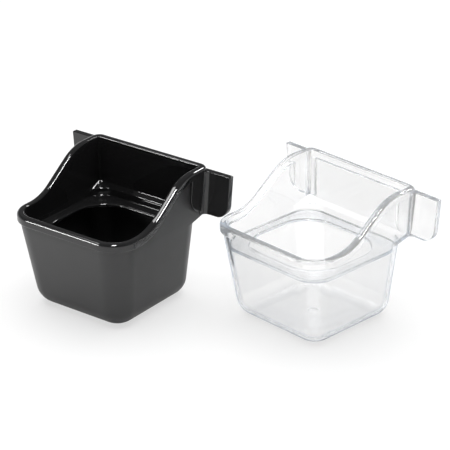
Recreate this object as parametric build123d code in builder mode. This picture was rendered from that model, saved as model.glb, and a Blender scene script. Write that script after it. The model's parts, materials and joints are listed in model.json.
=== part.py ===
"""A pair of winged seed cups, one black and one clear, each with a drop-in seed guard ring.

Both cups are the same moulding. Sizes are in millimetres. A cup stands on z = 0 with its base
centred on the origin of its own frame: x to its right, y to its back, z up.
"""
import os
from math import atan2, cos, degrees, radians, sin

from build123d import *

os.makedirs("parts", exist_ok=True)

# The tub
base_half = 32.75
base_corner_radius = 12.0
base_flat_corner_radius = 2.0
wall = 2.2
floor_thickness = 2.2

# The skirt, where the walls stop leaning out below the rim, and the flare of the back corners under it
skirt_drop = 7.8
skirt_half = 38.9
skirt_front = 41.0
skirt_back = 36.8
flare_depth = 3.2
flare_step = 1.8
upper_corner_radius = 14.0
back_corner_radius = 3.4
inner_back_corner_radius = 1.2

# The rim, level at the front and at the back, with a double bend up each side
rim_front_height = 57.5
rim_back_height = 79.2
front_level_length = 17.25
back_level_length = 12.05
bead_overhang = 2.1
bead_height = 5.2
bead_outer_radius = 1.8
bead_lower_radius = 1.0
bead_inner_radius = 0.9

# The wings that hold the cup behind the bars of a cage
wing_span = 115.0
wing_thickness = 3.6
wing_drop = 2.5
wing_foot = 0.3
wing_draft = 2.0
wing_corner_radius = 8.0
wing_edge_radius = 0.4
wing_root_radius = 3.4
wing_root_overlap = 5.0

# The pad on each side wall before the wing, which leans out from the wall up to the bead
pad_length = 12.2
pad_foot = 2.8
pad_corner_radius = 10.5
pad_proud = 0.15

# The seed guard, a flat ring that drops into the tub below the flare
guard_drop = 2.0
guard_thickness = 1.8
guard_clearance = 0.3
guard_side_width = 6.25
guard_front_width = 6.9
guard_back_width = 7.65
mouth_corner_radius = 19.0
mouth_edge_radius = 0.7

# Where the clear cup stands: its turn, how far it is behind the black cup, and the gap between
# its left rim and the black cup's right wing
clear_cup_turn = -9.3
clear_cup_back = 51.3
cup_gap = 2.6

# The least upward part of a face's direction that makes it a top face, and a level edge's most
top_face_slope = 0.5
level_slope = 0.01

# Values that follow from the sizes above
base_edge_radius = base_corner_radius - base_flat_corner_radius
inner_edge_radius = base_edge_radius - wall
skirt_height = rim_front_height - skirt_drop
flare_start = skirt_height - flare_depth
flare_back = skirt_back - flare_step
inner_flare_rise = 0.8 * wall
inner_flare_start = flare_start + inner_flare_rise
inner_skirt_height = skirt_height + inner_flare_rise
rise = rim_back_height - rim_front_height
rise_front = front_level_length - skirt_front
rise_back = skirt_back - back_level_length
run = rise_back - rise_front
rise_slope = 1.5 * atan2(rise, run)
bend_radius = (run * sin(rise_slope) - rise * cos(rise_slope)) / (2 - 2 * cos(rise_slope))
wing_back = skirt_back + bead_overhang
wing_front = wing_back - wing_thickness
wing_tip = wing_span / 2
wing_bottom = skirt_height + wing_foot
wing_top = rim_back_height - wing_drop
pad_front = wing_front - pad_length
pad_bottom = skirt_height + pad_foot
pad_inside = skirt_half - wall / 2
pad_back = wing_front + wing_thickness / 2
guard_top = flare_start - guard_drop
guard_bottom = guard_top - guard_thickness
guard_inset = wall + guard_clearance
mouth_rounding = min(mouth_edge_radius, 0.45 * guard_thickness)
turn = radians(clear_cup_turn)
clear_left_reach = skirt_half + bead_overhang + cup_gap
clear_cup_right = wing_tip + (clear_left_reach + (wing_front - clear_cup_back) * sin(turn)) / cos(turn)
reach = wing_span + rim_back_height


def outline(height, half_width, front, back, front_radius, back_radius):
    """A level rectangle with rounded corners, from y = -front to y = back."""
    with BuildSketch(Plane.XY.offset(height)) as level:
        with BuildLine():
            Polyline(
                (-half_width, -front),
                (half_width, -front),
                (half_width, back),
                (-half_width, back),
                close=True,
            )
        make_face()
        fillet(level.vertices().group_by(Axis.Y)[0], front_radius)
        fillet(level.vertices().group_by(Axis.Y)[-1], back_radius)
    return level.sketch


def tub_half(height):
    """Half the tub's outer width at a height below the flare."""
    return base_half + (skirt_half - base_half) * height / skirt_height


def tub_front(height):
    """How far the tub's front face lies before its middle at a height below the flare."""
    return base_half + (skirt_front - base_half) * height / skirt_height


def tub_back(height):
    """How far the tub's back face lies behind its middle at a height below the flare."""
    return base_half + (flare_back - base_half) * height / flare_start


def tub_outline(height, inset):
    """The tub's outline at a height below the flare, drawn in from its outer face."""
    widening = (upper_corner_radius - base_corner_radius) * height / skirt_height
    corner_radius = base_corner_radius + widening - inset
    return outline(
        height,
        tub_half(height) - inset,
        tub_front(height) - inset,
        tub_back(height) - inset,
        corner_radius,
        corner_radius,
    )


def skirt_outline(height, inset, back_radius):
    """The outline of the upright walls above the flare, drawn in from their outer face."""
    return outline(
        height,
        skirt_half - inset,
        skirt_front - inset,
        skirt_back - inset,
        upper_corner_radius - inset,
        back_radius,
    )


def pad_face(height):
    """How far out the pad's leaning face is at a height: by the wall below, by the bead above."""
    climb = (height - skirt_height) / (wing_top - skirt_height)
    return skirt_half + pad_proud + (bead_overhang - 2 * pad_proud) * climb


def root_corner(height):
    """The level section of the rounded hollow corner between the pad and the wing."""
    face = pad_face(height)
    with BuildSketch(Plane.XY.offset(height)) as section:
        with BuildLine():
            wing_end = (face + wing_root_radius, wing_front)
            wall_end = (face, wing_front - wing_root_radius)
            RadiusArc(wing_end, wall_end, -wing_root_radius)
            Polyline(
                wall_end,
                (pad_inside, wing_front - wing_root_radius),
                (pad_inside, pad_back),
                (face + wing_root_radius, pad_back),
                wing_end,
            )
        make_face()
    return section.sketch


def under_rim(drop):
    """The side view of everything below the rim's double bend, lowered by drop."""
    with BuildSketch(Plane.YZ) as side_view:
        with BuildLine():
            front_level = Line((-reach, rim_front_height - drop), (rise_front, rim_front_height - drop))
            lower_bend = JernArc(front_level @ 1, (1, 0), bend_radius, degrees(rise_slope))
            back_level = Line((reach, rim_back_height - drop), (rise_back, rim_back_height - drop))
            upper_bend = JernArc(back_level @ 1, (-1, 0), bend_radius, degrees(rise_slope))
            Line(lower_bend @ 1, upper_bend @ 1)
            Polyline(back_level @ 0, (reach, -reach), (-reach, -reach), front_level @ 0)
        make_face()
    return side_view.sketch


def is_top_face(face):
    """True for a face that looks up."""
    return face.normal_at().Z > top_face_slope


def is_under_face(face):
    """True for a face that looks down."""
    return face.normal_at().Z < -top_face_slope


def is_upright_face(face):
    """True for a wall with no lean."""
    return abs(face.normal_at().Z) < level_slope


def is_level_edge(edge):
    """True for an edge that neither climbs nor falls."""
    return abs(edge.tangent_at(0.5).Z) < level_slope


def is_on_outer_rim(edge):
    """True for an edge that runs round the outside of the rim, not across it."""
    middle = edge @ 0.5
    across = abs(middle.X) < bead_overhang
    inside = abs(middle.Y) < skirt_back
    return not (across and inside)


def is_on_inner_rim(edge):
    """True for an edge that runs round the mouth of the hollow."""
    middle = edge @ 0.5
    slack = 0.1 * wall
    narrow = abs(middle.X) < skirt_half - wall + slack
    behind_front = middle.Y > wall - skirt_front - slack
    before_back = middle.Y < skirt_back - wall + slack
    return narrow and behind_front and before_back


# The solid outside of the tub, before it is hollowed
with BuildPart() as tub_block:
    outer_skirt = skirt_outline(skirt_height, 0, back_corner_radius)
    loft(sections=[tub_outline(0, 0), tub_outline(flare_start, 0)], ruled=True)
    fillet(tub_block.faces().sort_by(Axis.Z)[0].edges(), base_edge_radius)
    loft(sections=[tub_outline(flare_start, 0), outer_skirt], ruled=True)
    extrude(to_extrude=outer_skirt, amount=rim_back_height - skirt_height)
    extrude(to_extrude=under_rim(bead_height / 2), amount=reach, both=True, mode=Mode.INTERSECT)

# The hollow, with its own flare a little higher than the outer one
with BuildPart() as hollow:
    inner_skirt = skirt_outline(inner_skirt_height, wall, inner_back_corner_radius)
    loft(sections=[tub_outline(floor_thickness, wall), tub_outline(inner_flare_start, wall)], ruled=True)
    fillet(hollow.faces().sort_by(Axis.Z)[0].edges(), inner_edge_radius)
    loft(sections=[tub_outline(inner_flare_start, wall), inner_skirt], ruled=True)
    extrude(to_extrude=inner_skirt, amount=rim_back_height)

# The rounded bead along the rim
with BuildPart() as bead:
    rim_outline = skirt_outline(0, -bead_overhang, back_corner_radius + bead_overhang)
    extrude(to_extrude=rim_outline, amount=rim_back_height + bead_height)
    extrude(to_extrude=under_rim(0), amount=reach, both=True, mode=Mode.INTERSECT)
    extrude(to_extrude=under_rim(bead_height), amount=reach, both=True, mode=Mode.SUBTRACT)
    fillet(bead.faces().filter_by(is_top_face).edges().filter_by(is_on_outer_rim), bead_outer_radius)
    fillet(bead.faces().filter_by(is_under_face).edges().filter_by(is_on_outer_rim), bead_lower_radius)

# The right wing, with the rounded hollow corner at its root
with BuildPart() as wing:
    with BuildSketch(Plane.XZ.offset(-wing_back)) as wing_face:
        with BuildLine():
            Polyline(
                (skirt_half - wing_root_overlap, wing_bottom),
                (wing_tip - wing_draft, wing_bottom),
                (wing_tip, wing_top),
                (skirt_half - wing_root_overlap, wing_top),
                close=True,
            )
        make_face()
        fillet(wing_face.vertices().sort_by(lambda corner: corner.X - corner.Y)[-1], wing_corner_radius)
    extrude(amount=wing_thickness)
    fillet(wing.edges().filter_by(lambda edge: (edge @ 0.5).X > skirt_half), wing_edge_radius)
    loft(sections=[root_corner(skirt_height), root_corner(wing_top - wing_edge_radius)], ruled=True)

# The pad on the right side wall: its side view, cut to its leaning section and to the bead
with BuildPart() as pad:
    with BuildSketch(Plane.YZ.offset(pad_inside)) as pad_view:
        with BuildLine():
            Polyline(
                (pad_front, pad_bottom),
                (pad_back, pad_bottom),
                (pad_back, rim_back_height),
                (pad_front, rim_back_height),
                close=True,
            )
        make_face()
        fillet(pad_view.vertices().sort_by(lambda corner: corner.X + corner.Y)[0], pad_corner_radius)
    extrude(amount=wall / 2 + bead_overhang)
    with BuildSketch(Plane.XZ.offset(-wing_back)):
        with BuildLine():
            Polyline(
                (pad_inside, skirt_height),
                (pad_face(skirt_height), skirt_height),
                (pad_face(wing_top), wing_top),
                (pad_face(wing_top), rim_back_height),
                (pad_inside, rim_back_height),
                close=True,
            )
        make_face()
    extrude(amount=reach, mode=Mode.INTERSECT)
    extrude(to_extrude=under_rim(bead_height / 2), amount=reach, both=True, mode=Mode.INTERSECT)

# The cup as it comes out of the mould
with BuildPart() as cup_moulding:
    add(tub_block.part)
    add(pad.part)
    add(pad.part.mirror(Plane.YZ))
    add(bead.part)
    add(wing.part)
    add(wing.part.mirror(Plane.YZ))
    add(hollow.part, mode=Mode.SUBTRACT)
    lowest_rim = rim_front_height - bead_height / 2
    rim_faces = cup_moulding.faces().filter_by(is_top_face).filter_by(lambda face: face.center().Z > lowest_rim)
    fillet(rim_faces.edges().filter_by(is_on_inner_rim), bead_inner_radius)

# The seed guard, its edge following the lean of the tub's walls
with BuildPart() as guard_moulding:
    loft(sections=[tub_outline(guard_bottom, guard_inset), tub_outline(guard_top, guard_inset)], ruled=True)
    mouth = outline(
        guard_bottom,
        tub_half(guard_top) - guard_inset - guard_side_width,
        tub_front(guard_top) - guard_inset - guard_front_width,
        tub_back(guard_top) - guard_inset - guard_back_width,
        mouth_corner_radius,
        mouth_corner_radius,
    )
    extrude(to_extrude=mouth, amount=guard_thickness, mode=Mode.SUBTRACT)
    mouth_walls = guard_moulding.faces().filter_by(is_upright_face)
    fillet(mouth_walls.edges().filter_by(is_level_edge), mouth_rounding)

# The two cups side by side, with the set's origin on the floor in the middle of the pair
black_spot = Location((0, 0, 0))
clear_spot = Location((clear_cup_right, clear_cup_back, 0), (0, 0, clear_cup_turn))
pair = Compound([cup_moulding.part.moved(black_spot), cup_moulding.part.moved(clear_spot)])
pair_middle = pair.bounding_box().center()
to_set = Location((-pair_middle.X, -pair_middle.Y, 0))

with BuildPart() as black_cup:
    add(cup_moulding.part.moved(to_set * black_spot))
black_cup.part.label = "black_cup"
export_step(black_cup.part, "parts/black_cup.step")

with BuildPart() as black_seed_guard:
    add(guard_moulding.part.moved(to_set * black_spot))
black_seed_guard.part.label = "black_seed_guard"
export_step(black_seed_guard.part, "parts/black_seed_guard.step")

with BuildPart() as clear_cup:
    add(cup_moulding.part.moved(to_set * clear_spot))
clear_cup.part.label = "clear_cup"
export_step(clear_cup.part, "parts/clear_cup.step")

with BuildPart() as clear_seed_guard:
    add(guard_moulding.part.moved(to_set * clear_spot))
clear_seed_guard.part.label = "clear_seed_guard"
export_step(clear_seed_guard.part, "parts/clear_seed_guard.step")
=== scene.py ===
"""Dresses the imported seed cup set: a black and a clear winged cup, each with a drop-in guard ring.

Every length is in metres. A cup is drawn in its own frame, standing on z = 0 with its base centred
on the origin, x to its right and y to its back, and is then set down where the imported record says.
"""

import json
import math
from typing import NamedTuple

import bpy
import numpy as np
from mathutils import Matrix, Vector


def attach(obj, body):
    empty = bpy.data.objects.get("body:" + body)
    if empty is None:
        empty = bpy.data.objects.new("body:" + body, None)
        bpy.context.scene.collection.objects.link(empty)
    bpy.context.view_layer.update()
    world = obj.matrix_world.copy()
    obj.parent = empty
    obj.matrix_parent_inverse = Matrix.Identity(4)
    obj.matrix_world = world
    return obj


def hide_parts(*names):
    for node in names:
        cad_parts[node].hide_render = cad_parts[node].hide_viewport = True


bl_info = {
    "name": "Seed cup set",
    "version": (1, 0, 0),
    "blender": (4, 5, 0),
    "location": "3D View > Sidebar > Seed cups",
    "description": "Builds a black and a clear winged seed cup with drop-in guard rings",
    "category": "Add Mesh",
}

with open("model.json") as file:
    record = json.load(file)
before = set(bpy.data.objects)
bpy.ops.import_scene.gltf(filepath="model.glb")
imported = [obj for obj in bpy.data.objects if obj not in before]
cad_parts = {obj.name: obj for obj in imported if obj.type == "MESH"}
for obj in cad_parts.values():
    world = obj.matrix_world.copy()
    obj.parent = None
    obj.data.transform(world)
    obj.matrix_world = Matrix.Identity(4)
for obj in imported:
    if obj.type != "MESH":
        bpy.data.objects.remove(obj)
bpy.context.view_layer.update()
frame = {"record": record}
MM = 0.001

# Steps along the runs and the round corners of an outline
FRONT_STEPS = 26
SIDE_STEPS = 64
BACK_STEPS = 26
CORNER_STEPS = 16

# How strongly the points of a run are drawn toward its ends
RUN_EASE = 0.11

# Steps along the curves of a section or an edge, fewest first
GUARD_EDGE_STEPS = 4
FINE_STEPS = 5
LIP_STEPS = 6
EDGE_STEPS = 8
HOLLOW_STEPS = 10
ROUND_STEPS = 12
WING_CORNER_STEPS = 13
PAD_CORNER_STEPS = 20
PAD_HEAD_STEPS = 23

# Steps up the leaning walls and up the upright walls, outside and inside
WALL_STEPS = 9
SKIRT_STEPS = 6
INNER_SKIRT_STEPS = 7

# Rings over the gate mark, the flat of the base and the guard ring, as shares of the way across
GATE_RINGS = (0.12, 0.3, 0.5, 0.7, 0.85, 1.0)
BASE_RINGS = (0.3, 0.5, 0.75)
GUARD_RINGS = (0.1, 0.5, 0.9)

# How much higher the flare begins inside than outside, as a share of the wall
INNER_FLARE_RISE = 0.8

# The steepest angle of the rim, over the angle of a straight line between its two levels
RISE_STEEPNESS = 1.5

# The angle round a wing's lower corner at which its rings begin, in degrees
WING_CORNER_START = 12

# How far a wing is kept inside its solid
WING_SUNK = 0.02 * MM

# How far the pad runs into the wing, as a share of the wing's thickness
PAD_INTO_WING = 0.4

# How far below the rim the pad ends inside the bead, as a share of the bead's height
PAD_HEAD_DROP = 0.6

# Finish numbers of a cup's faces, which are also its material slots
GLOSS = 0
SATIN = 1

# Edges that turn by more than this stay crisp
CRISP_ANGLE = math.radians(34)

WHITE = (1.0, 1.0, 1.0, 1.0)

# The colour sockets of a Mix node, by number, because their names are also those of other sockets
MIX_FIRST = 6
MIX_SECOND = 7
MIX_RESULT = 2

# The level about which cloudy noise goes up and down
NOISE_MIDDLE = 0.5

# Indexes of refraction of the two plastics
BLACK_REFRACTION = 1.58
CLEAR_REFRACTION = 1.49

# How the noise of the hairlines is scaled along x, y and z, where less draws them longer
HAIRLINE_SCALE = (0.06, 1.0, 0.35)

# Faces that a ray may pass on its way through the clear cup
CLEAR_BOUNCES = 48

# How strongly gloss and clear plastic show the floor's plain white, where a straight look is 1
GLOSS_WHITE = 0.38
CLEAR_WHITE = 1.25

# The round floor: its radius, its thickness, its points, its rings as shares of the radius, its paint
FLOOR_REACH = 3.0
FLOOR_THICKNESS = 0.02
FLOOR_STEPS = 96
FLOOR_RINGS = (1.0, 0.4, 0.1, 0.02)
FLOOR_MOTTLE = 0.995
FLOOR_ROUGHNESS = 0.9

# Width of the camera's sensor, in millimetres
SENSOR_WIDTH = 36.0

# The point at which every lamp is aimed
LAMP_AIM = (0.0, 0.0, 0.04)


class Lamp(NamedTuple):
    """A lamp's place, in degrees right of the camera, degrees up and metres away, and its size."""

    around: float
    elevation: float
    distance: float
    width: float
    height: float


TOP_SOFTBOX = Lamp(around=180, elevation=80, distance=1.2, width=1.7, height=1.7)

# The cards that are only seen in gloss
CARDS = {
    "left": Lamp(around=-110, elevation=56, distance=0.95, width=0.26, height=0.1),
    "middle": Lamp(around=-80, elevation=37, distance=0.95, width=0.3, height=0.06),
    "low": Lamp(around=-71, elevation=17, distance=0.95, width=0.36, height=0.1),
    "right": Lamp(around=138, elevation=44, distance=1.0, width=0.25, height=0.1),
    "corner": Lamp(around=-13, elevation=74, distance=0.95, width=0.16, height=0.15),
    "back": Lamp(around=180, elevation=6, distance=1.6, width=2.0, height=0.2),
}


def length(name, millimetres, description):
    """A length that shows in the panel, with its default in millimetres."""
    return bpy.props.FloatProperty(
        name=name, description=description, default=millimetres * MM, min=0.0, precision=5, unit="LENGTH"
    )


def colour(name, default, description):
    """A colour that shows in the panel."""
    return bpy.props.FloatVectorProperty(
        name=name, description=description, default=default, size=3, min=0.0, max=1.0, subtype="COLOR"
    )


def share(name, default, description):
    """A number from 0 to 1 that shows in the panel."""
    return bpy.props.FloatProperty(
        name=name, description=description, default=default, min=0.0, max=1.0, subtype="FACTOR"
    )


def heading(name, degrees, description):
    """A turn or a tilt that shows in the panel, with its default in degrees."""
    return bpy.props.FloatProperty(
        name=name, description=description, default=math.radians(degrees), subtype="ANGLE"
    )


def power(name, watts, description):
    """A lamp's power that shows in the panel."""
    return bpy.props.FloatProperty(name=name, description=description, default=watts, min=0.0, unit="POWER")


class SEEDCUP_PG_cup(bpy.types.PropertyGroup):
    """Sizes of the cup moulding, the same for both cups."""

    base_half: length("Base half width", 32.75, "Half the width of the tub at its floor")
    base_corner_radius: length("Base corner", 12.0, "Radius of the tub's upright corners at its floor")
    base_edge_radius: length("Base edge", 10.0, "Radius between the walls and the underside")
    gate_radius: length("Gate radius", 4.5, "Radius of the round gate mark in the middle of the base")
    gate_height: length("Gate height", 0.6, "How far the gate mark is domed up")
    wall: length("Wall", 2.2, "Thickness of the walls and the floor")
    skirt_drop: length("Skirt drop", 7.8, "How far below the front rim the walls turn upright")
    skirt_half: length("Skirt half width", 38.9, "Half the width of the upright walls under the rim")
    skirt_front: length("Skirt front", 41.0, "How far the upright front wall lies before the middle")
    skirt_back: length("Skirt back", 36.8, "How far the upright back wall lies behind the middle")
    skirt_blend: length("Skirt blend", 2.0, "Half the height over which a leaning wall turns upright")
    flare_depth: length("Flare height", 3.2, "Height of the step under the upright back wall")
    flare_step: length("Flare step", 1.8, "How far the back wall steps out")
    flare_edge_radius: length("Flare edge", 0.85, "Rounding of the step's two edges")
    upper_corner_radius: length("Upper corner", 14.0, "Radius of the upright corners at the front rim")
    back_corner_radius: length("Back corner", 3.4, "Radius of the upright corners at the back")
    rim_front_height: length("Front rim height", 57.5, "Height of the rim at the front")
    rim_back_height: length("Back rim height", 79.2, "Height of the rim at the back")
    front_level_length: length("Front level", 17.25, "Level stretch of the rim at the front")
    back_level_length: length("Back level", 12.05, "Level stretch of the rim at the back")
    bead_overhang: length("Bead overhang", 2.1, "How far the rim bead stands out from the wall")
    bead_height: length("Bead height", 5.2, "Height of the rim bead")
    bead_outer_radius: length("Bead outer edge", 1.8, "Radius of the rim's upper outer edge")
    bead_lower_radius: length("Bead lower edge", 1.0, "Radius of the bead's lower outer edge")
    bead_inner_radius: length("Bead inner edge", 0.9, "Radius of the rim's inner edge")
    bead_root_radius: length("Bead root", 0.5, "Radius of the hollow between the bead and the wall")
    wing_span: length("Wing span", 115.0, "From wing tip to wing tip")
    wing_thickness: length("Wing thickness", 3.6, "Thickness of a wing")
    wing_drop: length("Wing drop", 2.5, "How far the top of a wing lies below the back rim")
    wing_foot: length("Wing foot", 0.3, "How far the foot of a wing lies above the skirt's foot")
    wing_corner_radius: length("Wing corner", 8.0, "Radius of a wing's lower outer corner")
    wing_edge_radius: length("Wing edge", 0.4, "Radius of a wing's edges")
    wing_root_radius: length("Wing root", 3.4, "Radius of the hollow corner between wing and wall")
    wing_draft: length("Wing draft", 2.0, "How far a wing's tip draws in from its top to its foot")
    pad_length: length("Pad length", 12.2, "Length of the leaning pad before a wing")
    pad_foot: length("Pad foot", 2.8, "How far the pad's foot lies above the skirt's foot")
    pad_corner_radius: length("Pad corner", 10.5, "Radius of the pad's lower front corner")
    pad_proud: length("Pad proud", 0.15, "How far the pad stands out of the wall at its foot")
    pad_edge: length("Pad edge", 0.2, "Bevel round the pad")


class SEEDCUP_PG_guard(bpy.types.PropertyGroup):
    """Sizes of the guard ring, the same for both cups."""

    drop: length("Drop", 2.0, "How far the ring lies below the flare")
    thickness: length("Thickness", 1.8, "Thickness of the ring")
    clearance: length("Clearance", 0.3, "Gap between the ring and the walls")
    side_width: length("Side width", 6.25, "Width of the ring at the sides")
    front_width: length("Front width", 6.9, "Width of the ring at the front")
    back_width: length("Back width", 7.65, "Width of the ring at the back")
    mouth_corner_radius: length("Mouth corner", 19.0, "Radius of the mouth's corners")
    mouth_edge_radius: length("Mouth edge", 0.7, "Rounding of the mouth's edge")
    outer_edge_radius: length("Outer edge", 0.15, "Rounding of the ring's outer edge")
    lip_height: length("Lip", 0.5, "Height and rounding of the lip round the ring")


class SEEDCUP_PG_plastic(bpy.types.PropertyGroup):
    """Colours and finishes of the two plastics."""

    gloss_colour: colour("Gloss black", (0.010, 0.010, 0.0104), "Colour of the polished black faces")
    gloss_roughness: share("Gloss roughness", 0.022, "Roughness of the polished black faces")
    satin_colour: colour("Satin black", (0.0145, 0.0145, 0.015), "Colour of the tub's grained faces")
    satin_roughness: share("Satin roughness", 0.40, "Roughness of the tub's grained faces")
    clear_colour: colour("Clear tint", (0.997, 0.996, 0.994), "Tint of the clear plastic")
    # Painted shade: a darker blue tint where the clear plastic is seen edge on
    clear_edge_shade: colour("Clear edge", (0.72, 0.79, 0.89), "Tint of the clear plastic seen edge on")
    # Painted shade: the dark outline drawn over the clear plastic where it is seen edge on
    clear_line: colour("Clear outline", (0.50, 0.575, 0.67), "Colour of the clear plastic's thin outline")
    clear_shadow: colour(
        "Clear shadow", (0.62, 0.62, 0.62), "Light that one clear face lets through to the floor"
    )
    clear_roughness: share("Clear roughness", 0.004, "Roughness of the clear plastic")
    clear_through: colour(
        "Clear face", (0.970, 0.971, 0.972), "Light that one clear face lets straight through"
    )
    clear_bend: share("Clear bend", 0.88, "Share of the light that the clear plastic bends")


class SEEDCUP_PG_studio(bpy.types.PropertyGroup):
    """The camera's place and the levels of the studio light."""

    camera_place: bpy.props.FloatVectorProperty(
        name="Camera",
        description="Where the camera stands",
        default=(0.6076, -0.8133, 0.5252),
        subtype="TRANSLATION",
    )
    camera_turn: heading("Camera turn", 36.55, "Turn about the upright axis")
    camera_tilt: heading("Camera tilt", 25.09, "Tilt down from level")
    camera_lens: bpy.props.FloatProperty(
        name="Lens", description="Focal length, in millimetres", default=160.08, min=1.0, unit="CAMERA"
    )
    floor_colour: colour("Floor", (0.95, 0.95, 0.95), "Colour of the floor")
    horizon_level: share("Horizon", 0.95, "Brightness of the white sheet round the floor")
    room_level: share("Room", 0.14, "Brightness of the room above the sheet")
    clear_room: colour(
        "Room through clear", (0.36, 0.41, 0.48), "The room overhead, seen through clear plastic"
    )
    floor_lift: share("Floor lift", 0.62, "How far the floor shows as plain white paper")
    top_power: power("Top softbox", 27.0, "Power of the large softbox overhead")
    left_power: power("Left card", 0.6, "Power of the card to the camera's left, seen only in gloss")
    middle_power: power("Middle card", 0.3, "Power of the strip above the low card, seen only in gloss")
    low_power: power("Low card", 5.8, "Power of the low card to the camera's left, seen only in gloss")
    right_power: power("Right card", 2.4, "Power of the card behind and to the right, seen only in gloss")
    corner_power: power("Corner card", 7.5, "Power of the card above the camera, seen only in gloss")
    back_power: power("Back card", 2.0, "Power of the low card behind the cups, seen only in gloss")


def arc(centre_x, centre_y, radius, start, end, steps):
    """Points on an arc, from one angle to another in degrees."""
    angles = np.radians(np.linspace(start, end, steps + 1))
    return np.column_stack([centre_x + radius * np.cos(angles), centre_y + radius * np.sin(angles)])


def run_points(start, end, steps):
    """Points along a straight run without its end, closer together near both ends."""
    even = np.arange(steps) / steps
    eased = even - RUN_EASE * np.sin(2 * math.pi * even)
    return np.outer(1 - eased, start) + np.outer(eased, end)


def outline(half, front, back, front_radius, back_radius):
    """Points round a rectangle with rounded corners, anticlockwise from the left end of its front."""
    left, right = -half, half
    front_y, back_y = -front, back
    corners = [
        arc(right - front_radius, front_y + front_radius, front_radius, -90, 0, CORNER_STEPS),
        arc(right - back_radius, back_y - back_radius, back_radius, 0, 90, CORNER_STEPS),
        arc(left + back_radius, back_y - back_radius, back_radius, 90, 180, CORNER_STEPS),
        arc(left + front_radius, front_y + front_radius, front_radius, 180, 270, CORNER_STEPS),
    ]
    points = []
    for number, steps in enumerate((FRONT_STEPS, SIDE_STEPS, BACK_STEPS, SIDE_STEPS)):
        points.append(run_points(corners[number - 1][-1], corners[number][0], steps))
        points.append(corners[number][:-1])
    return np.concatenate(points)


class Skin:
    """A closed skin of faces through rings that all have the same number of points."""

    def __init__(self):
        self.rings = []
        self.finishes = []

    def add(self, plan, height, finish=GLOSS):
        """A ring of plan points at a height, or at a height for each point."""
        self.rings.append(np.column_stack([plan, np.broadcast_to(height, len(plan))]))
        self.finishes.append(finish)

    def build(self, name, materials, ring_shaped=False):
        """An object with faces between the rings, its ends closed, or joined into a ring."""
        count = len(self.rings[0])
        after = np.roll(np.arange(count), -1)
        faces = []
        finishes = []
        last = len(self.rings)
        for number in range(last if ring_shaped else last - 1):
            lower = number * count
            upper = (number + 1) % last * count
            for point in range(count):
                faces.append((lower + point, lower + after[point], upper + after[point], upper + point))
            finishes += [self.finishes[(number + 1) % last]] * count
        if not ring_shaped:
            faces.append(tuple(reversed(range(count))))
            faces.append(tuple(range((last - 1) * count, last * count)))
            finishes += [self.finishes[0], self.finishes[-1]]
        mesh = bpy.data.meshes.new(name)
        mesh.from_pydata(np.concatenate(self.rings).tolist(), [], [tuple(map(int, face)) for face in faces])
        for material in materials:
            mesh.materials.append(material)
        mesh.polygons.foreach_set("material_index", finishes)
        piece = bpy.data.objects.new(name, mesh)
        bpy.context.scene.collection.objects.link(piece)
        return piece


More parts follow.
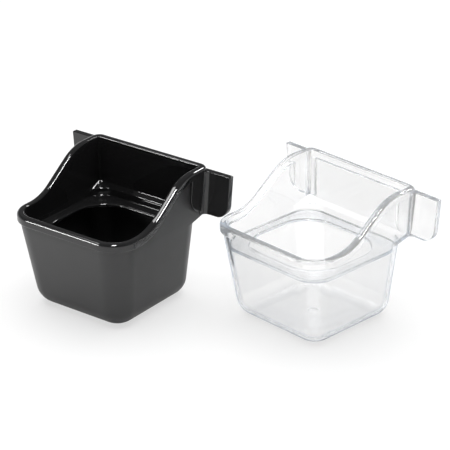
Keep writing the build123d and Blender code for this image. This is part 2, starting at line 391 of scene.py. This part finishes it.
class CupForm:
    """The levels and outlines of the cup, worked out from its sizes."""

    def __init__(self, cup):
        self.cup = cup
        self.skirt_height = cup.rim_front_height - cup.skirt_drop
        self.flare_start = self.skirt_height - cup.flare_depth
        self.inner_flare_start = self.flare_start + INNER_FLARE_RISE * cup.wall
        self.rise = cup.rim_back_height - cup.rim_front_height
        self.rise_front = cup.front_level_length - cup.skirt_front
        self.rise_back = cup.skirt_back - cup.back_level_length
        run = self.rise_back - self.rise_front
        self.rise_slope = RISE_STEEPNESS * math.atan2(self.rise, run)
        sine, cosine = math.sin(self.rise_slope), math.cos(self.rise_slope)
        self.bend_radius = (run * sine - self.rise * cosine) / (2 - 2 * cosine)
        self.wing_back = cup.skirt_back + cup.bead_overhang
        self.wing_front = self.wing_back - cup.wing_thickness
        self.wing_bottom = self.skirt_height + cup.wing_foot
        self.wing_top = cup.rim_back_height - cup.wing_drop

    def pad_face(self, height):
        """How far out the pad's leaning face is: at the wall by its foot, at the bead by its head."""
        climb = np.clip((height - self.skirt_height) / (self.wing_top - self.skirt_height), 0, 1)
        proud = self.cup.pad_proud
        return self.cup.skirt_half + proud + climb * (self.cup.bead_overhang - 2 * proud)

    def rim_height(self, y):
        """The rim's height over points of the cup's depth: level, bend, slope, bend, level."""
        radius = self.bend_radius
        bend_run = radius * math.sin(self.rise_slope)
        from_front = y - self.rise_front
        to_back = self.rise_back - y
        lower_bend = radius - np.sqrt(radius**2 - np.clip(from_front, 0, bend_run) ** 2)
        upper_bend = radius - np.sqrt(radius**2 - np.clip(to_back, 0, bend_run) ** 2)
        climb = np.clip(from_front, bend_run, self.rise_back - self.rise_front - bend_run) - bend_run
        slope = climb * math.tan(self.rise_slope)
        low = self.cup.rim_front_height + lower_bend + slope
        high = self.cup.rim_back_height - upper_bend
        return np.where(to_back < bend_run, high, low)

    def lean(self, foot, head, height):
        """How far out a leaning wall is at a height, with a soft turn where it becomes upright."""
        rate = (head - foot) / self.skirt_height
        blend = self.cup.skirt_blend
        over = height - (self.skirt_height - blend)
        if over <= 0:
            return foot + rate * height
        over = min(over, 2 * blend)
        return foot + rate * (self.skirt_height - blend + over - over**2 / (4 * blend))

    def plain_back(self, height):
        """How far back the leaning back wall is at a height, without the flare."""
        cup = self.cup
        lean = cup.skirt_back - cup.flare_step - cup.base_half
        return cup.base_half + lean * height / self.flare_start

    def tub_plan(self, height, inset, flared=0.0):
        """The tub's outline at a height, drawn in from its outer face, with a share of the flare."""
        cup = self.cup
        half = self.lean(cup.base_half, cup.skirt_half, height) - inset
        front = self.lean(cup.base_half, cup.skirt_front, height) - inset
        plain_back = self.plain_back(height)
        back = plain_back + (cup.skirt_back - plain_back) * flared - inset
        level = min(height / self.skirt_height, 1.0)
        corner = cup.base_corner_radius + (cup.upper_corner_radius - cup.base_corner_radius) * level - inset
        back_corner = corner + (cup.back_corner_radius - inset - corner) * flared
        return outline(half, front, back, corner, back_corner)

    def skirt_plan(self, outward):
        """The outline of the upright walls, moved outward."""
        cup = self.cup
        return outline(
            cup.skirt_half + outward,
            cup.skirt_front + outward,
            cup.skirt_back + outward,
            cup.upper_corner_radius + outward,
            cup.back_corner_radius + outward,
        )

    def flare_profile(self):
        """The flare from foot to head as (rise, share of its step) pairs: a slope with rounded ends."""
        depth = self.cup.flare_step
        height = self.cup.flare_depth
        radius = self.cup.flare_edge_radius
        across = depth - 2 * radius
        turn = math.asin(2 * radius / math.hypot(height, across)) + math.atan2(across, height)
        foot = []
        for angle in np.linspace(0, turn, EDGE_STEPS + 1):
            foot.append((radius * math.sin(angle), radius * (1 - math.cos(angle)) / depth))
        head = [(height - rise, 1 - part) for rise, part in reversed(foot)]
        return foot + head

    def bead_profile(self):
        """The rim's section from the outer wall over the bead to the inner wall, as (outward, up)."""
        cup = self.cup
        root, lower = cup.bead_root_radius, cup.bead_lower_radius
        outer, inner = cup.bead_outer_radius, cup.bead_inner_radius
        return np.concatenate([
            arc(root, -cup.bead_height - root, root, 180, 90, FINE_STEPS),
            arc(cup.bead_overhang - lower, lower - cup.bead_height, lower, -90, 0, EDGE_STEPS),
            arc(cup.bead_overhang - outer, -outer, outer, 0, 90, ROUND_STEPS),
            arc(inner - cup.wall, -inner, inner, 90, 180, EDGE_STEPS),
        ])


def add_rounded_floor(skin, form, edge_radius, floor_height, inset, finish, downward):
    """Rings of the gate mark, the flat floor and the rounding up to the wall, or the same reversed."""
    flat_plan = form.tub_plan(floor_height, inset + edge_radius)
    round_plan = flat_plan / np.linalg.norm(flat_plan, axis=1)[:, None]
    rings = []
    for part in GATE_RINGS:
        height = floor_height + form.cup.gate_height * (1 - part**2)
        rings.append((round_plan * form.cup.gate_radius * part, height))
    for part in BASE_RINGS:
        rings.append((flat_plan * part, floor_height))
    for angle in np.radians(np.linspace(0, 90, ROUND_STEPS + 1)):
        height = floor_height + edge_radius * (1 - math.cos(angle))
        drawn_in = inset + edge_radius * (1 - math.sin(angle))
        rings.append((form.tub_plan(height, drawn_in), height))
    for plan, height in reversed(rings) if downward else rings:
        skin.add(plan, height, finish)


def cup_skin(form):
    """The tub and rim as one skin, from the middle of the underside over the rim to the floor inside."""
    cup = form.cup
    skin = Skin()
    add_rounded_floor(skin, form, cup.base_edge_radius, 0.0, 0.0, SATIN, downward=False)
    for height in np.linspace(cup.base_edge_radius, form.flare_start, WALL_STEPS + 1)[1:-1]:
        skin.add(form.tub_plan(height, 0.0), height, SATIN)
    for rise, part in form.flare_profile():
        height = form.flare_start + rise
        skin.add(form.tub_plan(height, 0.0, part), height, SATIN)

    wall_plan = form.skirt_plan(0.0)
    skirt_foot = form.skirt_height + cup.skirt_blend
    bead = form.bead_profile()
    skirt_head = form.rim_height(wall_plan[:, 1]) + bead[0, 1]
    for part in np.linspace(0, 1, SKIRT_STEPS + 1)[:-1]:
        skin.add(wall_plan, skirt_foot + (skirt_head - skirt_foot) * part, SATIN)
    for number, (outward, up) in enumerate(bead):
        plan = form.skirt_plan(outward)
        skin.add(plan, form.rim_height(plan[:, 1]) + up, SATIN if number == 0 else GLOSS)

    inner_plan = form.skirt_plan(-cup.wall)
    inner_head = form.rim_height(inner_plan[:, 1]) + bead[-1, 1]
    inner_foot = form.inner_flare_start + cup.flare_depth
    for part in np.linspace(1, 0, INNER_SKIRT_STEPS + 1)[1:-1]:
        skin.add(inner_plan, inner_foot + (inner_head - inner_foot) * part)
    for rise, part in reversed(form.flare_profile()):
        height = form.inner_flare_start + rise
        skin.add(form.tub_plan(height, cup.wall, part), height)
    inner_edge = cup.base_edge_radius - cup.wall
    # Inside, the grain starts at the level of the guard ring
    grain_start = form.flare_start - cup.flare_depth
    for height in np.linspace(form.inner_flare_start, cup.wall + inner_edge, WALL_STEPS + 1)[1:-1]:
        finish = SATIN if height < grain_start else GLOSS
        skin.add(form.tub_plan(height, cup.wall), height, finish)
    add_rounded_floor(skin, form, inner_edge, cup.wall, cup.wall, SATIN, downward=True)
    return skin


def wing_skin(form, side):
    """One wing with the hollow corner at its root, side 1 for the right and -1 for the left."""
    cup = form.cup
    skin = Skin()
    edge = cup.wing_edge_radius
    corner = cup.wing_corner_radius
    edge_angles = np.radians(np.linspace(0, 90, FINE_STEPS + 1))
    corner_angles = np.radians(np.linspace(WING_CORNER_START, 90, WING_CORNER_STEPS + 1))
    rises = [edge * (1 - math.cos(angle)) for angle in edge_angles]
    curve = [corner * (1 - math.cos(angle)) for angle in corner_angles]
    heights = [form.wing_bottom + rise for rise in rises]
    heights += [form.wing_bottom + rise for rise in curve if rise > edge]
    heights += [form.wing_top - rise for rise in reversed(rises)]
    for height in heights:
        end_gap = min(height - form.wing_bottom, form.wing_top - height, edge)
        drawn_in = edge - math.sqrt(edge**2 - (edge - end_gap) ** 2) + WING_SUNK
        corner_gap = min(height - form.wing_bottom, corner)
        lower = (form.wing_top - height) / (form.wing_top - form.wing_bottom)
        tip = cup.wing_span / 2 - cup.wing_draft * lower - corner
        tip += math.sqrt(corner**2 - (corner - corner_gap) ** 2)
        top_gap = min(form.wing_top - height, edge)
        tip -= edge - math.sqrt(edge**2 - (edge - top_gap) ** 2) + WING_SUNK
        front = form.wing_front + drawn_in
        back = form.wing_back - drawn_in
        root = form.pad_face(height) - WING_SUNK
        inside_wall = cup.skirt_half - cup.wall / 2
        inside_back = cup.skirt_half - 2 * cup.wall
        middle = (front + back) / 2
        hollow = cup.wing_root_radius
        round_edge = edge - drawn_in / 2
        plan = np.concatenate([
            [(inside_back, middle), (inside_wall, middle), (inside_wall, front - hollow)],
            arc(root + hollow, front - hollow, hollow, 180, 90, HOLLOW_STEPS),
            arc(tip - round_edge, front + round_edge, round_edge, -90, 0, FINE_STEPS),
            arc(tip - round_edge, back - round_edge, round_edge, 0, 90, FINE_STEPS),
            [(inside_back, back)],
        ])
        if side < 0:
            plan = plan[::-1] * (-1, 1)
        skin.add(plan, height)
    return skin


def pad_skin(form, side):
    """The leaning pad on one side wall, from the wing's root forward to a large rounded corner."""
    cup = form.cup
    radius = cup.pad_corner_radius
    edge = cup.pad_edge
    skin = Skin()
    for bevel, inside_wall in ((0.0, True), (0.0, False), (edge, False)):
        front = form.wing_front - cup.pad_length + bevel
        foot = form.skirt_height + cup.pad_foot + bevel
        back = form.wing_front + PAD_INTO_WING * cup.wing_thickness
        tops = np.linspace(front, back, PAD_HEAD_STEPS + 1)
        corner = arc(front + radius, foot + radius, radius, 180, 270, PAD_CORNER_STEPS)
        head = np.column_stack([tops, form.rim_height(tops) - PAD_HEAD_DROP * cup.bead_height])[::-1]
        profile = np.concatenate([corner, [(back, foot)], head])
        if side < 0:
            profile = profile[::-1]
        face = form.pad_face(profile[:, 1]) - (edge - bevel)
        outward = np.full(len(profile), cup.skirt_half - cup.wall / 2) if inside_wall else face
        skin.add(np.column_stack([side * outward, profile[:, 0]]), profile[:, 1])
    return skin


def guard_skin(form, guard):
    """The flat ring as one skin round its section: outer edge, lip, top, rounded mouth and underside."""
    cup = form.cup
    top = form.flare_start - guard.drop
    bottom = top - guard.thickness
    inset = cup.wall + guard.clearance
    half = form.lean(cup.base_half, cup.skirt_half, top) - inset - guard.side_width
    front = form.lean(cup.base_half, cup.skirt_front, top) - inset - guard.front_width
    back = form.plain_back(top) - inset - guard.back_width
    mouth = guard.mouth_edge_radius
    edge = guard.outer_edge_radius
    lip = guard.lip_height

    def mouth_plan(outward):
        """The mouth's outline, moved outward."""
        radius = guard.mouth_corner_radius + outward
        return outline(half + outward, front + outward, back + outward, radius, radius)

    skin = Skin()
    for along, up in arc(0.0, 0.0, edge, -90, 0, GUARD_EDGE_STEPS):
        height = bottom + edge + up
        skin.add(form.tub_plan(height, inset + edge - along), height)
    for along, up in arc(0.0, 0.0, edge, 0, 180, 2 * GUARD_EDGE_STEPS):
        height = top + lip - edge + up
        skin.add(form.tub_plan(height, inset + edge - along), height)
    for along, up in arc(0.0, 0.0, lip, 180, 270, LIP_STEPS):
        height = top + lip + up
        skin.add(form.tub_plan(height, inset + 2 * edge + lip + along), height)
    upper_plan = form.tub_plan(top, inset + 2 * edge + lip)
    for part in GUARD_RINGS:
        skin.add(upper_plan + (mouth_plan(mouth) - upper_plan) * part, top)
    for along, up in arc(0.0, 0.0, mouth, 90, 180, EDGE_STEPS):
        skin.add(mouth_plan(mouth + along), top - mouth + up)
    for along, up in arc(0.0, 0.0, mouth, 180, 270, EDGE_STEPS):
        skin.add(mouth_plan(mouth + along), bottom + mouth + up)
    lower_plan = form.tub_plan(bottom, inset + edge)
    for part in reversed(GUARD_RINGS):
        skin.add(lower_plan + (mouth_plan(mouth) - lower_plan) * part, bottom)
    return skin


def join(piece, other):
    """Joins another object to a piece and removes the other."""
    modifier = piece.modifiers.new("join", "BOOLEAN")
    modifier.operation = "UNION"
    modifier.solver = "EXACT"
    modifier.object = other
    evaluated = piece.evaluated_get(bpy.context.evaluated_depsgraph_get())
    mesh = bpy.data.meshes.new_from_object(evaluated)
    piece.modifiers.clear()
    plain = piece.data
    piece.data = mesh
    mesh.name = plain.name
    bpy.data.meshes.remove(plain)
    bpy.data.objects.remove(other)


def set_down(piece, base_mount, wing_mount):
    """Moves a piece from the cup's own frame to where the record's mounts put that cup."""
    mounts = {mount["name"]: mount for mount in frame["record"]["mounts"]}
    facing = mounts[wing_mount]["axis"]
    turn = math.atan2(facing[0], -facing[1])
    place = Matrix.Translation(Vector(mounts[base_mount]["pos_m"]))
    piece.data.transform(place @ Matrix.Rotation(turn, 4, "Z"))
    piece.data.shade_smooth()
    piece.data.set_sharp_from_angle(angle=CRISP_ANGLE)


def opaque(rgb):
    """A colour property as the four numbers that a colour socket takes."""
    return (*rgb, 1.0)


def brighter(rgb, times):
    """A colour property made brighter or darker, as a colour socket takes it."""
    return opaque(min(part * times, 1.0) for part in rgb)


class Socket:
    """A node's output, on which Python's operators add Math nodes."""

    def __init__(self, shader, output):
        self.shader = shader
        self.output = output

    def __add__(self, other):
        return self.shader.math("ADD", self, other)

    __radd__ = __add__

    def __sub__(self, other):
        return self.shader.math("SUBTRACT", self, other)

    def __rsub__(self, other):
        return self.shader.math("SUBTRACT", other, self)

    def __mul__(self, other):
        return self.shader.math("MULTIPLY", self, other)

    __rmul__ = __mul__

    def __pow__(self, other):
        return self.shader.math("POWER", self, other)

    def __rpow__(self, other):
        return self.shader.math("POWER", other, self)


class Shader:
    """The nodes of one material, or of the room around the stage."""

    def __init__(self, owner):
        owner.use_nodes = True
        self.tree = owner.node_tree
        self.tree.nodes.clear()

    def add(self, kind, settings=None, sockets=None, output=0):
        """Adds a node, sets it up, fills or links its sockets, and gives one of its outputs."""
        node = self.tree.nodes.new(kind)
        for name, value in (settings or {}).items():
            if name == "stops":
                for stop, (place, level) in zip(node.color_ramp.elements, value):
                    stop.position = place
                    stop.color = (level, level, level, 1.0)
            else:
                setattr(node, name, value)
        for name, value in (sockets or {}).items():
            if isinstance(value, Socket):
                self.tree.links.new(value.output, node.inputs[name])
            else:
                node.inputs[name].default_value = value
        return Socket(self, node.outputs[output]) if node.outputs else None

    def math(self, operation, first, second):
        """A Math node on two numbers."""
        return self.add("ShaderNodeMath", {"operation": operation}, {0: first, 1: second})

    def mix(self, factor, first, second):
        """A colour between two colours."""
        sockets = {"Factor": factor, MIX_FIRST: first, MIX_SECOND: second}
        return self.add("ShaderNodeMix", {"data_type": "RGBA"}, sockets, output=MIX_RESULT)

    def blend(self, factor, first, second):
        """A surface between two surfaces."""
        return self.add("ShaderNodeMixShader", None, {0: factor, 1: first, 2: second})

    def place(self):
        """Where a point lies on its object."""
        return self.add("ShaderNodeTexCoord", output="Object")

    def noise(self, place, waves, detail):
        """Cloudy noise with so many waves in a metre, from 0 to 1."""
        sockets = {"Vector": place, "Scale": waves, "Detail": detail}
        return self.add("ShaderNodeTexNoise", None, sockets)

    def ramp(self, value, start, end, first=0.0, last=1.0):
        """A grey that goes from a first to a last level as a value goes from start to end."""
        stops = [(start, first), (end, last)]
        return self.add("ShaderNodeValToRGB", {"stops": stops}, {"Fac": value})

    def bump(self, height, strength, depth):
        """The direction of a surface that a height makes uneven."""
        sockets = {"Strength": strength, "Distance": depth, "Height": height}
        return self.add("ShaderNodeBump", None, sockets)

    def plastic(self, tone, roughness, normal, refraction, transmission=0.0):
        """A plastic's surface, which may let light through."""
        sockets = {
            "Base Color": tone,
            "Roughness": roughness,
            "IOR": refraction,
            "Transmission Weight": transmission,
            "Normal": normal,
        }
        return self.add("ShaderNodeBsdfPrincipled", None, sockets)

    def tinted(self, rgb):
        """A surface that lets light straight through and only tints it."""
        return self.add("ShaderNodeBsdfTransparent", None, {"Color": opaque(rgb)})

    def ray(self, question):
        """What a Light Path node says about the ray that meets the surface."""
        return self.add("ShaderNodeLightPath", output=question)

    def through_clear(self):
        """1 for rays that have come through clear plastic, unless they light something."""
        faces = self.ray("Transmission Depth")
        return self.math("MINIMUM", faces, 1.0) * (1 - self.ray("Is Diffuse Ray"))

    def seen_white(self):
        """How strongly a ray shows the floor's plain white: straight, in gloss or through clear plastic."""
        through = self.through_clear()
        in_gloss = self.ray("Is Glossy Ray") * (1 - through)
        return self.ray("Is Camera Ray") + in_gloss * GLOSS_WHITE + through * CLEAR_WHITE

    def show(self, surface):
        """Makes a surface the one that the material has."""
        self.add("ShaderNodeOutputMaterial", None, {"Surface": surface})


def gloss_black(plastic):
    """Polished black plastic: flow clouds in its gloss, fine hairlines and a little dust."""
    flow_tone = 0.6
    dust_tone = 0.4
    palest = 1.7
    flow_roughness = 0.02
    worn_roughness = 0.03
    dust_roughness = 0.08
    hairline_depth = 0.05
    material = bpy.data.materials.new("gloss_black")
    shader = Shader(material)
    place = shader.place()
    streaks = shader.add("ShaderNodeMapping", None, {"Vector": place, "Scale": HAIRLINE_SCALE})
    flow = shader.noise(place, waves=38.0, detail=3.0)
    ripple = shader.noise(place, waves=120.0, detail=1.0)
    hairlines = shader.noise(streaks, waves=5200.0, detail=2.0)
    dust = shader.noise(place, waves=3100.0, detail=1.0)
    worn = shader.ramp(hairlines, start=0.60, end=0.74)
    dusty = shader.ramp(dust, start=0.70, end=0.80)
    tone = shader.mix(
        flow * flow_tone + dusty * dust_tone,
        opaque(plastic.gloss_colour),
        brighter(plastic.gloss_colour, palest),
    )
    roughness = plastic.gloss_roughness + (flow - NOISE_MIDDLE) * flow_roughness
    roughness = roughness + worn * worn_roughness + dusty * dust_roughness
    normal = shader.bump(ripple + hairlines * hairline_depth, strength=0.02, depth=0.03 * MM)
    shader.show(shader.plastic(tone, roughness, normal, BLACK_REFRACTION))
    return material


def satin_black(plastic):
    """Black plastic with a fine moulded grain, and soft clouds where the grain is rubbed."""
    grain_tone = 0.5
    rubbed_tone = 0.3
    darkest = 0.85
    palest = 1.25
    grain_roughness = 0.16
    rubbed_smoothness = 0.04
    material = bpy.data.materials.new("satin_black")
    shader = Shader(material)
    place = shader.place()
    grain = shader.noise(place, waves=2600.0, detail=2.0)
    clouds = shader.noise(place, waves=55.0, detail=4.0)
    rubbed = shader.ramp(clouds, start=0.45, end=0.75)
    tone = shader.mix(
        grain * grain_tone + rubbed * rubbed_tone,
        brighter(plastic.satin_colour, darkest),
        brighter(plastic.satin_colour, palest),
    )
    roughness = plastic.satin_roughness + (grain - NOISE_MIDDLE) * grain_roughness
    roughness = roughness - rubbed * rubbed_smoothness
    normal = shader.bump(grain, strength=0.22, depth=0.05 * MM)
    shader.show(shader.plastic(tone, roughness, normal, BLACK_REFRACTION))
    return material


def clear_plastic(plastic):
    """Clear polished plastic with faint flow marks, a painted edge shade and a painted outline, which lets
    the lamps through to the floor.
    """
    edge_shade_falloff = 3
    edge_shade_flow = 0.2
    flow_roughness = 0.004
    worn_roughness = 0.015
    outline_shade_falloff = 6
    outline_shade_strength = 0.95
    material = bpy.data.materials.new("clear_plastic")
    shader = Shader(material)
    place = shader.place()
    flow = shader.noise(place, waves=60.0, detail=3.0)
    ripple = shader.noise(place, waves=90.0, detail=1.0)
    hairlines = shader.noise(place, waves=2400.0, detail=2.0)
    worn = shader.ramp(hairlines, start=0.66, end=0.80)
    edge_on = shader.add("ShaderNodeLayerWeight", output="Facing")
    # Painted shade: toward edge on, the tint turns darker and bluer, a little varied by the flow marks
    tone = shader.mix(
        edge_on**edge_shade_falloff * (1 - edge_shade_flow + flow * edge_shade_flow),
        opaque(plastic.clear_colour),
        opaque(plastic.clear_edge_shade),
    )
    roughness = plastic.clear_roughness + flow * flow_roughness + worn * worn_roughness
    normal = shader.bump(ripple, strength=0.01, depth=0.02 * MM)
    bent = shader.plastic(tone, roughness, normal, CLEAR_REFRACTION, transmission=1.0)
    seen = shader.blend(plastic.clear_bend, shader.tinted(plastic.clear_through), bent)
    # Painted shade: edge on, part of the clear plastic is swapped for a dark see-through tint that draws
    # its outline
    outline_shade_share = edge_on**outline_shade_falloff * outline_shade_strength
    outline_shaded = shader.blend(outline_shade_share, seen, shader.tinted(plastic.clear_line))
    lighting = shader.ray("Is Shadow Ray") + shader.ray("Is Diffuse Ray")
    shader.show(shader.blend(lighting, outline_shaded, shader.tinted(plastic.clear_shadow)))
    return material


class SEEDCUP_OT_cups(bpy.types.Operator):
    """Builds the black and the clear cup in place of their solids."""

    bl_idname = "seedcup.cups"
    bl_label = "Cups"

    def execute(self, context):
        form = CupForm(context.scene.seed_cup)
        plastic = context.scene.seed_plastic
        clear = clear_plastic(plastic)
        finishes = {"black": [gloss_black(plastic), satin_black(plastic)], "clear": [clear, clear]}
        for cup, materials in finishes.items():
            node = cup + "_cup"
            piece = cup_skin(form).build(cup + "_moulding", materials)
            for side in (1, -1):
                join(piece, pad_skin(form, side).build("pad", materials))
            for side in (1, -1):
                join(piece, wing_skin(form, side).build("wing", materials))
            set_down(piece, cup + "_base", cup + "_left_wing")
            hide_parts(node)
            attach(piece, node)
        return {"FINISHED"}


class SEEDCUP_OT_guards(bpy.types.Operator):
    """Builds the guard ring of each cup in place of its solid."""

    bl_idname = "seedcup.guards"
    bl_label = "Guard rings"

    def execute(self, context):
        form = CupForm(context.scene.seed_cup)
        guard = context.scene.seed_guard
        finishes = {"black": "gloss_black", "clear": "clear_plastic"}
        for cup, finish in finishes.items():
            materials = [bpy.data.materials[finish]]
            piece = guard_skin(form, guard).build(cup + "_guard_ring", materials, ring_shaped=True)
            set_down(piece, cup + "_base", cup + "_left_wing")
            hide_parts(cup + "_seed_guard")
            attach(piece, cup + "_guard")
        return {"FINISHED"}


def add_lamp(name, lamp, camera_turn, watts, only_in_gloss):
    """A softbox that lights the cups but isn't seen in their gloss, or a card that is seen only there."""
    angle = camera_turn + math.radians(lamp.around)
    elevation = math.radians(lamp.elevation)
    level = lamp.distance * math.cos(elevation)
    place = Vector((level * math.sin(angle), -level * math.cos(angle), lamp.distance * math.sin(elevation)))
    light = bpy.data.lights.new(name, "AREA")
    light.shape = "RECTANGLE"
    light.size = lamp.width
    light.size_y = lamp.height
    light.energy = watts
    holder = bpy.data.objects.new(name, light)
    holder.location = place
    holder.rotation_euler = (Vector(LAMP_AIM) - place).to_track_quat("-Z", "Y").to_euler()
    holder.visible_camera = False
    holder.visible_transmission = not only_in_gloss
    holder.visible_diffuse = not only_in_gloss
    holder.visible_glossy = only_in_gloss
    bpy.context.scene.collection.objects.link(holder)


class SEEDCUP_OT_stage(bpy.types.Operator):
    """Sets up the camera, the floor, the room and the lamps."""

    bl_idname = "seedcup.stage"
    bl_label = "Stage"

    def execute(self, context):
        scene = context.scene
        studio = scene.seed_studio
        scene.view_settings.view_transform = "Standard"
        scene.cycles.max_bounces = CLEAR_BOUNCES
        scene.cycles.transmission_bounces = CLEAR_BOUNCES
        scene.cycles.transparent_max_bounces = CLEAR_BOUNCES
        self.add_camera(scene, studio)
        self.add_floor(studio)
        self.add_room(scene, studio)
        turn = studio.camera_turn
        add_lamp("top_softbox", TOP_SOFTBOX, turn, studio.top_power, only_in_gloss=False)
        for name, card in CARDS.items():
            watts = getattr(studio, name + "_power")
            add_lamp(name + "_card", card, turn, watts, only_in_gloss=True)
        return {"FINISHED"}

    def add_camera(self, scene, studio):
        """The camera, upright and tilted down."""
        data = bpy.data.cameras.new("camera")
        data.sensor_width = SENSOR_WIDTH
        data.sensor_fit = "HORIZONTAL"
        data.lens = studio.camera_lens
        camera = bpy.data.objects.new("camera", data)
        camera.location = studio.camera_place
        camera.rotation_euler = (math.pi / 2 - studio.camera_tilt, 0.0, studio.camera_turn)
        scene.collection.objects.link(camera)
        scene.camera = camera

    def add_floor(self, studio):
        """A round white floor, part lit paper and part plain white."""
        skin = Skin()
        angles = np.linspace(0, 2 * math.pi, FLOOR_STEPS + 1)[:-1]
        plan = np.column_stack([np.cos(angles), np.sin(angles)]) * FLOOR_REACH
        skin.add(plan, -FLOOR_THICKNESS)
        for part in FLOOR_RINGS:
            skin.add(plan * part, 0.0)
        material = bpy.data.materials.new("floor_paint")
        shader = Shader(material)
        mottle = shader.noise(shader.place(), waves=6.0, detail=3.0)
        tone = shader.mix(mottle, brighter(studio.floor_colour, FLOOR_MOTTLE), opaque(studio.floor_colour))
        sockets = {"Base Color": tone, "Roughness": FLOOR_ROUGHNESS}
        paper = shader.add("ShaderNodeBsdfPrincipled", None, sockets)
        white = shader.add("ShaderNodeEmission", None, {"Color": WHITE})
        shader.show(shader.blend(shader.seen_white() * studio.floor_lift, paper, white))
        floor = skin.build("floor", [material])

    def add_room(self, scene, studio):
        """A white sheet round the floor under a dim room, with other levels through clear plastic."""
        world = bpy.data.worlds.new("room")
        scene.world = world
        shader = Shader(world)
        direction = shader.add("ShaderNodeTexCoord", output="Generated")
        upward = shader.add("ShaderNodeSeparateXYZ", None, {"Vector": direction}, output="Z")
        sheet, room = studio.horizon_level, studio.room_level
        level = shader.ramp(upward, start=0.14, end=0.30, first=sheet, last=room)
        overhead = shader.ramp(upward, start=0.40, end=0.72)
        seen_through = shader.mix(overhead, WHITE, opaque(studio.clear_room))
        shade = shader.mix(shader.through_clear(), level, seen_through)
        light = shader.add("ShaderNodeBackground", None, {"Color": shade})
        shader.add("ShaderNodeOutputWorld", None, {"Surface": light})


class SEEDCUP_PT_panel(bpy.types.Panel):
    """Lists the operators and the sizes and colours that they use."""

    bl_idname = "SEEDCUP_PT_panel"
    bl_label = "Seed cups"
    bl_space_type = "VIEW_3D"
    bl_region_type = "UI"
    bl_category = "Seed cups"

    def draw(self, context):
        for operator in (SEEDCUP_OT_cups, SEEDCUP_OT_guards, SEEDCUP_OT_stage):
            self.layout.operator(operator.bl_idname)
        for group in SETTINGS:
            box = self.layout.box()
            values = getattr(context.scene, group)
            for name in values.__annotations__:
                box.prop(values, name)


SETTINGS = {
    "seed_cup": SEEDCUP_PG_cup,
    "seed_guard": SEEDCUP_PG_guard,
    "seed_plastic": SEEDCUP_PG_plastic,
    "seed_studio": SEEDCUP_PG_studio,
}
CLASSES = (*SETTINGS.values(), SEEDCUP_OT_cups, SEEDCUP_OT_guards, SEEDCUP_OT_stage, SEEDCUP_PT_panel)


def register():
    """Makes the operators, the panel and their settings known to Blender."""
    for item in CLASSES:
        bpy.utils.register_class(item)
    for name, group in SETTINGS.items():
        setattr(bpy.types.Scene, name, bpy.props.PointerProperty(type=group))


def unregister():
    """Takes them away again."""
    for name in SETTINGS:
        delattr(bpy.types.Scene, name)
    for item in reversed(CLASSES):
        bpy.utils.unregister_class(item)


def main():
    """Builds the set and its stage."""
    register()
    bpy.ops.seedcup.cups()
    bpy.ops.seedcup.guards()
    bpy.ops.seedcup.stage()


if __name__ == "__main__":
    main()
